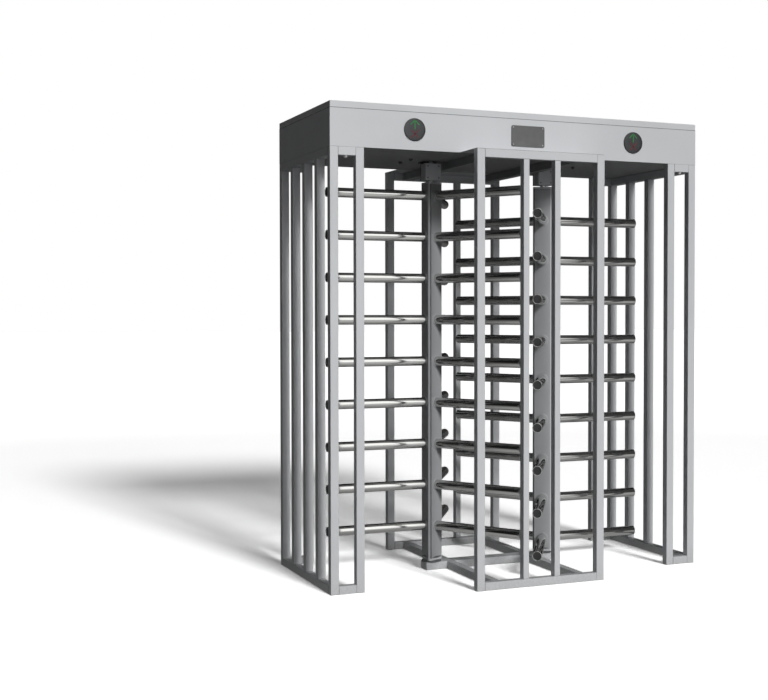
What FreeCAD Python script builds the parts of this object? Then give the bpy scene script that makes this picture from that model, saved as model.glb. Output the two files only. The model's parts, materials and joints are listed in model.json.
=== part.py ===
import FreeCAD, Part
import os
import Sketcher

doc = FreeCAD.newDocument("full_height_turnstile")
dims = doc.addObject("Spreadsheet::Sheet", "dims")

# Driving dimensions, in millimetres unless the name is a count.
driving = [
    # whole unit
    ("overall_height", 2300),
    # header box
    ("header_depth", 840), ("header_height", 210), ("lid_height", 30), ("lid_seam", 2),
    ("sheet_thickness", 2), ("lip_clearance", 1),
    # square tube of the frames
    ("post_size", 40), ("tube_wall", 2),
    # side frames and their narrow front and rear returns
    ("side_bar_count", 3), ("return_gap", 87),
    # centre cage
    ("cage_width", 684), ("cage_bar_width", 30), ("cage_bar_offset", 84),
    ("long_rail_offset", 228), ("foot_width", 80), ("foot_overhang", 42), ("foot_wall", 4),
    # rotor columns
    ("column_face", 80), ("column_corner", 12), ("column_wall", 3), ("cap_thickness", 10),
    # rotor arms; the right rotor's stand lower by the stagger, so the two sets pass between each other
    ("wing_count", 3), ("arm_levels", 9), ("top_arm_drop", 175), ("lowest_arm_height", 118),
    ("arm_stagger", 109), ("arm_reach", 560), ("arm_diameter", 48.3), ("arm_wall", 3.2), ("arm_flats", 10),
    ("plug_depth", 20), ("plug_recess", 1.5),
    # room between the sweep of the arms and the cage posts and side bars
    ("cage_clearance", 20), ("side_clearance", 78),
    # lower pivot
    ("pivot_flange_diameter", 100), ("pivot_flange_thickness", 7), ("pivot_gap", 3),
    ("pivot_diameter", 30), ("running_clearance", 0.05), ("pivot_end_gap", 6),
    # upper bearing
    ("housing_width", 86), ("housing_depth", 60), ("housing_wall", 6), ("housing_height", 86),
    ("housing_drop", 12), ("column_top_gap", 9), ("cover_thickness", 3), ("hanger_thickness", 6),
    ("hanger_flange", 40), ("bearing_height", 40), ("shaft_diameter", 32), ("spindle_diameter", 20),
    ("spindle_clearance", 6),
    # mechanism inside the header
    ("beam_offset", 110), ("plate_margin", 14), ("plate_thickness", 6), ("damper_size", 100),
    ("damper_height", 40), ("disc_gap", 6), ("disc_diameter", 200), ("disc_thickness", 10),
    ("slots_per_wing", 4), ("slot_depth", 16), ("slot_clearance", 2), ("bolt_size", 16),
    ("bolt_rest_gap", 3), ("bolt_guide_clearance", 0.5), ("solenoid_length", 70), ("solenoid_width", 50),
    ("solenoid_gap", 16), ("solenoid_roof", 14),
    ("controller_height", 80), ("controller_side_gap", 12), ("controller_end_gap", 32),
    ("supply_length", 140), ("supply_width", 100), ("supply_height", 60), ("supply_end_gap", 238),
    # indicators and nameplate on the fascia
    ("fascia_shift", 21), ("lamp_spacing", 1200), ("lamp_rise", 96), ("lamp_diameter", 108),
    ("lamp_window", 76), ("lens_thickness", 6), ("lamp_box_size", 100), ("lamp_box_depth", 36),
    ("nameplate_width", 180), ("nameplate_height", 102), ("nameplate_rise", 96), ("nameplate_corner", 8),
    ("nameplate_thickness", 6),
]
for row, (alias, number) in enumerate(driving, start=1):
    dims.set("A%d" % row, alias)
    dims.set("B%d" % row, str(number))
    dims.setAlias("B%d" % row, alias)
doc.recompute()

# Places and sizes that follow from the driving dimensions.
underside = "(dims.overall_height - dims.header_height)"
post = "dims.post_size"
half_depth = "(dims.header_depth / 2)"
half_cage = "(dims.cage_width / 2)"
column_axis = "(%s - %s / 2)" % (half_cage, post)
cage_front = "(dims.arm_reach + dims.cage_clearance + %s)" % post
half_width = "(%s + dims.arm_reach + dims.side_clearance + %s)" % (column_axis, post)
rail_gap_height = "(%s - 2 * dims.post_size)" % underside
fascia_height = "(dims.header_height - dims.lid_height - dims.lid_seam)"
lip_top = "(dims.header_height - dims.sheet_thickness)"
lip_face = "(dims.sheet_thickness + dims.lip_clearance)"
floor_top = "(%s + dims.sheet_thickness)" % underside

column_bottom = "(dims.post_size + dims.pivot_flange_thickness + dims.pivot_gap)"
housing_bottom = "(%s - dims.housing_drop - dims.housing_height)" % underside
column_top = "(%s - dims.column_top_gap)" % housing_bottom
column_flat = "(dims.column_face / (2 * sqrt(3)) + dims.column_corner)"
top_arm = "(%s - dims.top_arm_drop)" % underside
arm_pitch = "((%s - dims.arm_stagger - dims.lowest_arm_height) / (dims.arm_levels - 1))" % top_arm
# A ten-sided bar whose corners and flats lie as far outside as inside the round tube that it stands for.
tube_round = "(1 + cos(180deg / dims.arm_flats))"
arm_outer = "(dims.arm_diameter / %s)" % tube_round
arm_inner = "((dims.arm_diameter - 2 * dims.arm_wall) / %s)" % tube_round

plate_bottom = "(%s + dims.post_size)" % floor_top
plate_top = "(%s + dims.plate_thickness)" % plate_bottom
plate_width = "(2 * dims.beam_offset + dims.post_size)"
solenoid_start = "(dims.disc_diameter / 2 + dims.solenoid_gap)"
half_plate = "(%s + dims.solenoid_length + dims.plate_margin)" % solenoid_start
disc_bottom = "(%s + dims.damper_height + dims.disc_gap)" % plate_top
bolt_low = "(%s + dims.disc_thickness / 2 - dims.bolt_size / 2)" % disc_bottom
bolt_length = "(dims.solenoid_length + 2 * (dims.solenoid_gap - dims.bolt_rest_gap))"
spindle_hole = "(dims.spindle_diameter / 2 + dims.spindle_clearance)"

nodes = []


def value(expression):
    """The number that an expression on the sheet gives."""
    result = dims.evalExpression(str(expression))
    return float(getattr(result, "Value", result))


def bind(thing, prop, expression):
    thing.setExpression(prop, str(expression))


def place(thing, x="0", y="0", z="0", turn=0):
    """Put an object's origin at x, y, z, turned about the upright by whole degrees."""
    thing.Placement = FreeCAD.Placement(
        FreeCAD.Vector(value(x), value(y), value(z)), FreeCAD.Rotation(FreeCAD.Vector(0, 0, 1), turn))
    for prop, expression in (("x", x), ("y", y), ("z", z)):
        bind(thing, "Placement.Base." + prop, expression)


def box(name, length, width, height, x, y, z):
    solid = doc.addObject("Part::Box", name)
    bind(solid, "Length", length)
    bind(solid, "Width", width)
    bind(solid, "Height", height)
    place(solid, x, y, z)
    return solid


def cylinder(name, radius, height, x, y, z):
    solid = doc.addObject("Part::Cylinder", name)
    bind(solid, "Radius", radius)
    bind(solid, "Height", height)
    place(solid, x, y, z)
    return solid


def cut(name, base, tool):
    result = doc.addObject("Part::Cut", name)
    result.Base = base
    result.Tool = tool
    return result


def tube(name, along, length, width, height, x, y, z, wall="dims.tube_wall"):
    """A rectangular tube, open at both ends. width and height are its section's two sides in axis order."""
    bore = ["(%s - 2 * %s)" % (side, wall) for side in (width, height)]
    inset = {"X": ("0", wall, wall), "Y": (wall, "0", wall), "Z": (wall, wall, "0")}[along]
    sides = {
        "X": ((length, width, height), (length, bore[0], bore[1])),
        "Y": ((width, length, height), (bore[0], length, bore[1])),
        "Z": ((width, height, length), (bore[0], bore[1], length)),
    }[along]
    outer = box(name + "_outer", *sides[0], x, y, z)
    corner = ["%s + %s" % pair for pair in zip((x, y, z), inset)]
    inner = box(name + "_inner", *sides[1], *corner)
    return cut(name, outer, inner)


def node(label, *pieces):
    """Name a sub-part. Several identical pieces make one node of separate solids."""
    piece = pieces[0]
    if len(pieces) > 1:
        piece = doc.addObject("Part::Compound", label)
        piece.Links = list(pieces)
    piece.Label = label
    nodes.append(piece)
    return piece


def plane(body, role):
    for feature in body.Origin.OriginFeatures:
        if feature.Role == role:
            return feature
    raise ValueError(role)


def new_body(name):
    return doc.addObject("PartDesign::Body", name)


def outline(body, name, role, points):
    """A closed sketch of straight lines on an origin plane, each corner bound to the sheet."""
    sketch = body.newObject("Sketcher::SketchObject", name)
    sketch.AttachmentSupport = [(plane(body, role), "")]
    sketch.MapMode = "FlatFace"
    corners = [FreeCAD.Vector(value(u), value(v), 0) for u, v in points]
    for start, end in zip(corners, corners[1:] + corners[:1]):
        sketch.addGeometry(Part.LineSegment(start, end), False)
    count = len(points)
    for index in range(count):
        sketch.addConstraint(Sketcher.Constraint("Coincident", index, 2, (index + 1) % count, 1))
    for index, (u, v) in enumerate(points):
        for kind, expression, axis in (("DistanceX", u, -2), ("DistanceY", v, -1)):
            if expression == "0":
                sketch.addConstraint(Sketcher.Constraint("PointOnObject", index, 1, axis))
                continue
            number = sketch.addConstraint(Sketcher.Constraint(kind, -1, 1, index, 1, value(expression)))
            bind(sketch, "Constraints[%d]" % number, expression)
    return sketch


def pad(body, name, sketch, length):
    feature = body.newObject("PartDesign::Pad", name)
    feature.Profile = sketch
    feature.Midplane = True
    bind(feature, "Length", length)
    return feature


def turned(name, points):
    """A solid of revolution about its own upright axis, from a half profile of radius and height."""
    body = new_body(name)
    sketch = outline(body, name + "_profile", "XZ_Plane", points)
    feature = body.newObject("PartDesign::Revolution", name + "_turn")
    feature.Profile = sketch
    feature.ReferenceAxis = (sketch, ["V_Axis"])
    feature.Angle = 360
    return body


def upright_edges(shape):
    names = []
    for number, edge in enumerate(shape.Edges, start=1):
        first, last = edge.Vertexes[0].Point, edge.Vertexes[-1].Point
        if abs(first.x - last.x) < 1e-6 and abs(first.y - last.y) < 1e-6:
            names.append("Edge%d" % number)
    return names


def level_faces(shape):
    return ["Face%d" % number for number, face in enumerate(shape.Faces, start=1)
            if abs(face.normalAt(0, 0).z) > 0.9]


def side_x(side, distance):
    """A place on the left (-1) or right (1) of the middle."""
    return "(%d * %s)" % (side, distance)


def low_x(side, near, size):
    """The low corner of a box whose inner face stands at near and that grows outwards."""
    return near if side > 0 else "(-1 * %s - %s)" % (near, size)


def sides():
    return (("left", -1), ("right", 1))


def ends():
    return (("front", -1), ("rear", 1))


# Header: a folded sheet box with a lift-off lid.

def header_panel(label, length, lip_length, turn, x, y, lamps):
    """A fascia: an upright sheet whose top is joggled inwards to make the lip that carries the lid."""
    sheet = "dims.sheet_thickness"
    body = new_body(label)
    face = outline(body, label + "_face", "YZ_Plane", [
        ("0", "0"), (sheet, "0"), (sheet, fascia_height), ("0", fascia_height)])
    pad(body, label + "_sheet", face, length)
    lip_back = "(%s + %s)" % (lip_face, sheet)
    ledge = "(%s - %s)" % (fascia_height, sheet)
    fold = outline(body, label + "_fold", "YZ_Plane", [
        (sheet, ledge), (lip_back, ledge), (lip_back, lip_top),
        (lip_face, lip_top), (lip_face, fascia_height), (sheet, fascia_height)])
    pad(body, label + "_lip", fold, lip_length)
    for number, lamp_x in enumerate(lamps):
        window = body.newObject("PartDesign::SubtractiveBox", "%s_lamp_window_%d" % (label, number))
        window.AttachmentSupport = [(plane(body, "XY_Plane"), "")]
        window.MapMode = "FlatFace"
        bind(window, "Length", "dims.lamp_window")
        bind(window, "Width", sheet)
        bind(window, "Height", "dims.lamp_window")
        bind(window, "AttachmentOffset.Base.x", "(%s - dims.lamp_window / 2)" % lamp_x)
        bind(window, "AttachmentOffset.Base.z", "(dims.lamp_rise - dims.lamp_window / 2)")
    place(body, x, y, underside, turn)
    return node(label, body)


def lamp_places():
    return ["(dims.fascia_shift + %d * dims.lamp_spacing / 2)" % side for _, side in sides()]


def header():
    lamps = lamp_places()
    long_lip = "(2 * (%s - %s))" % (half_width, lip_face)
    end_length = "(dims.header_depth - 2 * dims.sheet_thickness)"
    end_lip = "(dims.header_depth - 2 * (%s + dims.sheet_thickness))" % lip_face
    header_panel("front_fascia", "2 * " + half_width, long_lip, 0, "0", "-1 * " + half_depth, lamps)
    header_panel("rear_fascia", "2 * " + half_width, long_lip, 180, "0", half_depth, lamps)
    header_panel("left_end_panel", end_length, end_lip, -90, "-1 * " + half_width, "0", [])
    header_panel("right_end_panel", end_length, end_lip, 90, half_width, "0", [])

    inner_length = "(2 * (%s - dims.sheet_thickness))" % half_width
    low = "(dims.sheet_thickness - %s)"
    floor = box("floor_sheet", inner_length, end_length, "dims.sheet_thickness",
                low % half_width, low % half_depth, underside)
    window = "(2 * %s)" % spindle_hole
    for name, side in sides():
        low_side = "(%s - %s)" % (side_x(side, column_axis), spindle_hole)
        hole = box(name + "_shaft_window", window, window, "dims.sheet_thickness",
                   low_side, "-1 * " + spindle_hole, underside)
        floor = cut(name + "_opened_floor", floor, hole)
    node("header_floor", floor)

    lid_bottom = "(dims.overall_height - dims.lid_height)"
    lid_outer = box("lid_outer", "2 * " + half_width, "dims.header_depth", "dims.lid_height",
                    "-1 * " + half_width, "-1 * " + half_depth, lid_bottom)
    lid_inner = box("lid_inner", inner_length, end_length, "(dims.lid_height - dims.sheet_thickness)",
                    low % half_width, low % half_depth, lid_bottom)
    node("header_lid", cut("lid_pan", lid_outer, lid_inner))

    beams = []
    for name, end in ends():
        beam_y = "(%d * dims.beam_offset - dims.post_size / 2)" % end
        beams.append(tube(name + "_beam", "X", inner_length, post, post,
                          low % half_width, beam_y, floor_top))
    node("header_beams", *beams)


def indicators():
    """Round lamps front and rear, each a lens over a box behind the fascia, and the bare nameplate."""
    for name, end in ends():
        lenses, boxes = [], []
        facing = FreeCAD.Rotation(FreeCAD.Vector(0, 0, 1), 0 if end < 0 else 180)
        for number, lamp_x in enumerate(lamp_places()):
            centre_x = "(%d * %s)" % (-end, lamp_x)
            lens = cylinder("%s_lens_%d" % (name, number), "dims.lamp_diameter / 2", "dims.lens_thickness",
                            centre_x, "%d * %s" % (end, half_depth), "(%s + dims.lamp_rise)" % underside)
            lens.Placement.Rotation = facing * FreeCAD.Rotation(FreeCAD.Vector(1, 0, 0), 90)
            lenses.append(lens)
            inner_face = "(%s - dims.sheet_thickness)" % half_depth
            low_y = "-1 * " + inner_face if end < 0 else "(%s - dims.lamp_box_depth)" % inner_face
            boxes.append(box("%s_lamp_box_%d" % (name, number),
                             "dims.lamp_box_size", "dims.lamp_box_depth", "dims.lamp_box_size",
                             "(%s - dims.lamp_box_size / 2)" % centre_x, low_y,
                             "(%s + dims.lamp_rise - dims.lamp_box_size / 2)" % underside))
        node(name + "_lamp_lenses", *lenses)
        node(name + "_lamp_housings", *boxes)

    body = new_body("nameplate")
    blank = body.newObject("PartDesign::AdditiveBox", "nameplate_blank")
    blank.AttachmentSupport = [(plane(body, "XY_Plane"), "")]
    blank.MapMode = "FlatFace"
    bind(blank, "Length", "dims.nameplate_width")
    bind(blank, "Width", "dims.nameplate_height")
    bind(blank, "Height", "dims.nameplate_thickness")
    doc.recompute()
    corners = body.newObject("PartDesign::Fillet", "nameplate_corners")
    corners.Base = (blank, upright_edges(blank.Shape))
    bind(corners, "Radius", "dims.nameplate_corner")
    place(body, "(dims.fascia_shift - dims.nameplate_width / 2)", "-1 * " + half_depth,
          "(%s + dims.nameplate_rise - dims.nameplate_height / 2)" % underside)
    body.Placement.Rotation = FreeCAD.Rotation(FreeCAD.Vector(1, 0, 0), 90)
    node("nameplate", body)


# Side frames: five uprights a side, tied top and bottom, with a narrow return at each end.

def side_frames():
    outer_low = {-1: "-1 * " + half_width, 1: "(%s - %s)" % (half_width, post)}
    return_near = "(%s - 2 * %s - dims.return_gap)" % (half_width, post)
    gap_near = "(%s - %s - dims.return_gap)" % (half_width, post)
    end_low = {-1: "-1 * " + half_depth, 1: "(%s - %s)" % (half_depth, post)}
    levels = (("bottom", "0"), ("top", "(%s - %s)" % (underside, post)))
    bar_pitch = "((dims.header_depth - dims.post_size) / (dims.side_bar_count + 1))"
    for name, side in sides():
        corner_posts, return_posts, side_rails, return_rails = [], [], [], []
        for end_name, end in ends():
            corner_posts.append(tube("%s_%s_corner_post" % (name, end_name), "Z", underside, post, post,
                                     outer_low[side], end_low[end], "0"))
            return_posts.append(tube("%s_%s_return_post" % (name, end_name), "Z", underside, post, post,
                                     low_x(side, return_near, post), end_low[end], "0"))
            for level, height in levels:
                return_rails.append(tube("%s_%s_%s_return_rail" % (name, end_name, level), "X",
                                         "dims.return_gap", post, post,
                                         low_x(side, gap_near, "dims.return_gap"), end_low[end], height))
        bars = []
        for number in range(int(value("dims.side_bar_count"))):
            bar_y = "(%d * %s - %s)" % (number + 1, bar_pitch, half_depth)
            bars.append(tube("%s_side_bar_%d" % (name, number), "Z", rail_gap_height, post, post,
                             outer_low[side], bar_y, post))
        for level, height in levels:
            side_rails.append(tube("%s_%s_side_rail" % (name, level), "Y",
                                   "(dims.header_depth - 2 * %s)" % post, post, post,
                                   outer_low[side], "(%s - %s)" % (post, half_depth), height))
        node(name + "_corner_posts", *corner_posts)
        node(name + "_side_bars", *bars)
        node(name + "_side_rails", *side_rails)
        node(name + "_return_posts", *return_posts)
        node(name + "_return_rails", *return_rails)


# Centre cage: a barred panel in front and behind, joined by long rails above and below.

def cage():
    top_rail = "(%s - %s)" % (underside, post)
    inner_width = "(dims.cage_width - 2 * %s)" % post
    long_length = "(2 * (%s - %s))" % (cage_front, post)
    for name, end in ends():
        low_y = "-1 * " + cage_front if end < 0 else "(%s - %s)" % (cage_front, post)
        posts, bars, rails = [], [], []
        for side_name, side in sides():
            post_low = "-1 * " + half_cage if side < 0 else "(%s - %s)" % (half_cage, post)
            posts.append(tube("%s_%s_cage_post" % (name, side_name), "Z", underside, post, post,
                              post_low, low_y, "0"))
            bar_low = "(%d * dims.cage_bar_offset - dims.cage_bar_width / 2)" % side
            bars.append(tube("%s_%s_cage_bar" % (name, side_name), "Z", rail_gap_height,
                             "dims.cage_bar_width", post, bar_low, low_y, post))
        for level, height in (("bottom", "0"), ("top", top_rail)):
            rails.append(tube("%s_%s_cage_rail" % (name, level), "X", inner_width, post, post,
                              "(%s - %s)" % (post, half_cage), low_y, height))
        node(name + "_cage_posts", *posts)
        node(name + "_cage_bars", *bars)
        node(name + "_cage_rails", *rails)
        roof_y = "-1 * " + cage_front if end < 0 else half_depth
        roof_depth = "(%s - %s)" % (cage_front, half_depth)
        node(name + "_roof_plate", box(name + "_roof", "dims.cage_width", roof_depth,
                                       "dims.sheet_thickness", "-1 * " + half_cage, roof_y, underside))
    for level, height in (("base", "0"), ("top", top_rail)):
        rails = []
        for side_name, side in sides():
            rail_low = "(%d * dims.long_rail_offset - %s / 2)" % (side, post)
            rails.append(tube("%s_%s_long_rail" % (side_name, level), "Y", long_length, post, post,
                              rail_low, "(%s - %s)" % (post, cage_front), height))
        node(level + "_long_rails", *rails)


def feet():
    """The base cross member, whose closed ends outside the long rails are the feet under the columns."""
    half_rail = "(dims.long_rail_offset - %s / 2)" % post
    foot_near = "(dims.long_rail_offset + %s / 2)" % post
    reach = "(%s + dims.foot_overhang - %s)" % (column_axis, foot_near)
    low_y = "(-1 * dims.foot_width / 2)"
    node("base_cross_member", tube("cross_member", "X", "(2 * %s)" % half_rail, "dims.foot_width", post,
                                   "-1 * " + half_rail, low_y, "0"))
    for name, side in sides():
        wall = "dims.foot_wall"
        outer = box(name + "_foot_outer", reach, "dims.foot_width", post,
                    low_x(side, foot_near, reach), low_y, "0")
        bore = "(%s - %s)" % (reach, wall)
        inner = box(name + "_foot_inner", bore, "(dims.foot_width - 2 * %s)" % wall,
                    "(%s - 2 * %s)" % (post, wall), low_x(side, foot_near, bore),
                    "(%s + %s)" % (low_y, wall), wall)
        node(name + "_foot", cut(name + "_foot_shell", outer, inner))


# Rotors. The right one is the left one turned half round, with its arms set lower.

def triangle(name, height, corner="dims.column_corner"):
    """A three-sided bar with rounded corners, the section of the column."""
    body = new_body(name)
    prism = body.newObject("PartDesign::AdditivePrism", name + "_prism")
    prism.AttachmentSupport = [(plane(body, "XY_Plane"), "")]
    prism.MapMode = "FlatFace"
    prism.Polygon = 3
    bind(prism, "Circumradius", "dims.column_face / sqrt(3) + 2 * " + corner)
    bind(prism, "Height", height)
    doc.recompute()
    rounded = body.newObject("PartDesign::Fillet", name + "_corners")
    rounded.Base = (prism, upright_edges(prism.Shape))
    bind(rounded, "Radius", corner)
    doc.recompute()
    return body, rounded


def column(name, x, turn):
    """The rotor's hollow column, and its two caps, of which the lower one is bored for the pivot."""
    cap = "dims.cap_thickness"
    height = "(%s - %s - 2 * %s)" % (column_top, column_bottom, cap)
    body, rounded = triangle(name + "_column", height)
    wall = body.newObject("PartDesign::Thickness", name + "_column_wall")
    wall.Base = (rounded, level_faces(rounded.Shape))
    wall.Reversed = True
    bind(wall, "Value", "dims.column_wall")
    place(body, x, "0", "(%s + %s)" % (column_bottom, cap), turn)
    node(name + "_column", body)

    top, _ = triangle(name + "_top_cap", cap)
    place(top, x, "0", "(%s - %s)" % (column_top, cap), turn)
    bottom, _ = triangle(name + "_bottom_cap", cap)
    bore = bottom.newObject("PartDesign::SubtractiveCylinder", name + "_pivot_bore")
    bore.AttachmentSupport = [(plane(bottom, "XY_Plane"), "")]
    bore.MapMode = "FlatFace"
    bind(bore, "Radius", "dims.pivot_diameter / 2 + dims.running_clearance")
    bind(bore, "Height", cap)
    place(bottom, x, "0", column_bottom, turn)
    node(name + "_column_caps", top, bottom)


def lying_prism(name, circumradius, length, start):
    """A many-sided bar along +X from start, near enough round for the light tubes of the arms."""
    solid = doc.addObject("Part::Prism", name)
    bind(solid, "Polygon", "dims.arm_flats")
    bind(solid, "Circumradius", circumradius)
    bind(solid, "Height", length)
    place(solid, start)
    solid.Placement.Rotation = FreeCAD.Rotation(FreeCAD.Vector(0, 1, 0), 90)
    return solid


def spread(label, master, x, first_angle, top_height):
    """Copies of one arm piece on every level and wing of a rotor."""
    copies = []
    wings = int(value("dims.wing_count"))
    for level in range(int(value("dims.arm_levels"))):
        height = value("%s - %d * %s" % (top_height, level, arm_pitch))
        for wing in range(wings):
            turn = FreeCAD.Rotation(FreeCAD.Vector(0, 0, 1), first_angle + wing * 360 / wings)
            copy = master.Shape.copy()
            copy.Placement = FreeCAD.Placement(FreeCAD.Vector(value(x), 0, height), turn) * copy.Placement
            copies.append(copy)
    group = doc.addObject("Part::Feature", label)
    group.Shape = Part.makeCompound(copies)
    return node(label, group)


def arms():
    length = "(dims.arm_reach - %s)" % column_flat
    arm = cut("arm", lying_prism("arm_outer", arm_outer, length, column_flat),
              lying_prism("arm_bore", arm_inner, length, column_flat))
    plug = lying_prism("end_plug", arm_inner, "dims.plug_depth",
                       "(dims.arm_reach - dims.plug_recess - dims.plug_depth)")
    doc.recompute()
    for name, side in sides():
        x = side_x(side, column_axis)
        first_angle = 180 if side < 0 else 0
        top_height = top_arm if side < 0 else "(%s - dims.arm_stagger)" % top_arm
        spread(name + "_arms", arm, x, first_angle, top_height)
        spread(name + "_end_plugs", plug, x, first_angle, top_height)


def spindle(name, x):
    """The stepped shaft that stands on the column, turns in the bearing and carries the disc."""
    thick, thin = "dims.shaft_diameter / 2", "dims.spindle_diameter / 2"
    step = "(%s + dims.housing_height - %s)" % (housing_bottom, column_top)
    top = "(%s - %s)" % (disc_bottom, column_top)
    shaft = turned(name + "_shaft", [
        ("0", "0"), (thick, "0"), (thick, step), (thin, step), (thin, top), ("0", top)])
    place(shaft, x, "0", column_top)
    node(name + "_shaft", shaft)


def index_disc(name, x, turn):
    """The disc on the shaft's end, with slots all round its rim that the lock bolt drops into."""
    rim, thick = "dims.disc_diameter / 2", "dims.disc_thickness"
    slot_width = "(dims.bolt_size + 2 * dims.slot_clearance)"
    body = turned(name + "_index_disc", [("0", "0"), (rim, "0"), (rim, thick), ("0", thick)])
    slot = body.newObject("PartDesign::SubtractiveBox", name + "_slot")
    slot.AttachmentSupport = [(plane(body, "XY_Plane"), "")]
    slot.MapMode = "FlatFace"
    bind(slot, "Length", "2 * dims.slot_depth")
    bind(slot, "Width", slot_width)
    bind(slot, "Height", thick)
    bind(slot, "AttachmentOffset.Base.x", "(%s - dims.slot_depth)" % rim)
    bind(slot, "AttachmentOffset.Base.y", "-1 * %s / 2" % slot_width)
    doc.recompute()
    slots = body.newObject("PartDesign::PolarPattern", name + "_slots")
    slots.Originals = [slot]
    slots.Axis = (plane(body, "Z_Axis"), [""])
    slots.Angle = 360
    bind(slots, "Occurrences", "dims.wing_count * dims.slots_per_wing")
    body.Tip = slots
    place(body, x, "0", disc_bottom, turn)
    node(name + "_index_disc", body)


def lock_bolt(name, side):
    """The square bolt that slides out of its solenoid towards the disc."""
    near = "(%s - dims.disc_diameter / 2 - dims.bolt_rest_gap - %s)" % (column_axis, bolt_length)
    size = "dims.bolt_size"
    node(name + "_lock_bolt", box(name + "_bolt", bolt_length, size, size,
                                  low_x(side, near, bolt_length), "(-1 * %s / 2)" % size, bolt_low))


# Fixed bearings and the mechanism's mountings, one of each under and in the header for each rotor.

def bearings():
    housings, covers, hangers, blocks, pivots = [], [], [], [], []
    width, depth, half = "dims.housing_width", "dims.housing_depth", "dims.housing_depth / 2"
    for name, side in sides():
        x = side_x(side, column_axis)
        low = "(%s - %s / 2)" % (x, width)
        housings.append(tube(name + "_housing", "Z", "dims.housing_height", width, depth,
                             low, "(-1 * %s)" % half, housing_bottom, "dims.housing_wall"))
        covers.append(box(name + "_cover", width, "dims.cover_thickness", "dims.housing_height",
                          low, "(-1 * %s - dims.cover_thickness)" % half, housing_bottom))

        hanger = new_body(name + "_hanger")
        drop = "(dims.housing_height + dims.housing_drop)"
        shelf = "(%s - dims.hanger_thickness)" % drop
        web = "(%s + dims.hanger_thickness)" % half
        reach = "(%s + dims.hanger_flange)" % half
        angle = outline(hanger, name + "_hanger_angle", "YZ_Plane", [
            (half, "0"), (web, "0"), (web, shelf), (reach, shelf), (reach, drop), (half, drop)])
        pad(hanger, name + "_hanger_pad", angle, width)
        place(hanger, x, "0", housing_bottom)
        hangers.append(hanger)

        seat = ["(%s - 2 * dims.housing_wall)" % span for span in (width, depth)]
        block = box(name + "_bearing_block", *seat, "dims.bearing_height",
                    "(%s + dims.housing_wall)" % low, "(dims.housing_wall - %s)" % half, housing_bottom)
        bore = cylinder(name + "_bearing_bore", "(dims.shaft_diameter / 2 + dims.running_clearance)",
                        "dims.bearing_height", x, "0", housing_bottom)
        blocks.append(cut(name + "_bearing", block, bore))

        flange, pin = "dims.pivot_flange_diameter / 2", "dims.pivot_diameter / 2"
        thick = "dims.pivot_flange_thickness"
        tip = "(%s + dims.pivot_gap + dims.cap_thickness + dims.pivot_end_gap)" % thick
        pivot = turned(name + "_pivot", [
            ("0", "0"), (flange, "0"), (flange, thick), (pin, thick), (pin, tip), ("0", tip)])
        place(pivot, x, "0", post)
        pivots.append(pivot)
    node("bearing_housings", *housings)
    node("housing_covers", *covers)
    node("housing_hangers", *hangers)
    node("upper_bearings", *blocks)
    node("lower_pivots", *pivots)


def mechanism():
    """For each rotor, a plate across the beams with the hydraulic damper and the lock's solenoid on it."""
    plates, dampers, solenoids = [], [], []
    for name, side in sides():
        x = side_x(side, column_axis)
        plate = box(name + "_plate_blank", "2 * " + half_plate, plate_width, "dims.plate_thickness",
                    "(%s - %s)" % (x, half_plate), "(-1 * %s / 2)" % plate_width, plate_bottom)
        hole = cylinder(name + "_plate_hole", spindle_hole, "dims.plate_thickness", x, "0", plate_bottom)
        plates.append(cut(name + "_plate", plate, hole))

        size = "dims.damper_size"
        damper = box(name + "_damper_block", size, size, "dims.damper_height",
                     "(%s - %s / 2)" % (x, size), "(-1 * %s / 2)" % size, plate_top)
        bore = cylinder(name + "_damper_bore", "(dims.spindle_diameter / 2 + dims.running_clearance)",
                        "dims.damper_height", x, "0", plate_top)
        dampers.append(cut(name + "_damper", damper, bore))

        near = "(%s - %s - dims.solenoid_length)" % (column_axis, solenoid_start)
        roof = "(%s + dims.bolt_size + dims.solenoid_roof)" % bolt_low
        body = box(name + "_solenoid_body", "dims.solenoid_length", "dims.solenoid_width",
                   "(%s - %s)" % (roof, plate_top), low_x(side, near, "dims.solenoid_length"),
                   "(-1 * dims.solenoid_width / 2)", plate_top)
        guide = "(dims.bolt_size + 2 * dims.bolt_guide_clearance)"
        slot = box(name + "_solenoid_slot", "dims.solenoid_length", guide, guide,
                   low_x(side, near, "dims.solenoid_length"), "(-1 * %s / 2)" % guide,
                   "(%s - dims.bolt_guide_clearance)" % bolt_low)
        solenoids.append(cut(name + "_solenoid", body, slot))
    node("mechanism_plates", *plates)
    node("rotary_dampers", *dampers)
    node("lock_solenoids", *solenoids)

    width = "(2 * dims.beam_offset - %s - 2 * dims.controller_side_gap)" % post
    half_length = "(%s - %s - dims.controller_end_gap)" % (column_axis, half_plate)
    node("controller_box", box("controller", "2 * " + half_length, width, "dims.controller_height",
                               "-1 * " + half_length, "(-1 * %s / 2)" % width, floor_top))
    supply_end = "(%s - dims.sheet_thickness - dims.supply_end_gap)" % half_width
    node("power_supply", box("supply", "dims.supply_length", "dims.supply_width", "dims.supply_height",
                             "(%s - dims.supply_length)" % supply_end,
                             "(-1 * dims.supply_width / 2)", floor_top))


def rotors():
    for name, side in sides():
        x = side_x(side, column_axis)
        turn = 0 if side < 0 else 180
        column(name, x, turn)
        spindle(name, x)
        index_disc(name, x, turn)
        lock_bolt(name, side)
    arms()


header()
indicators()
side_frames()
cage()
feet()
bearings()
mechanism()
rotors()
doc.recompute()

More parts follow.
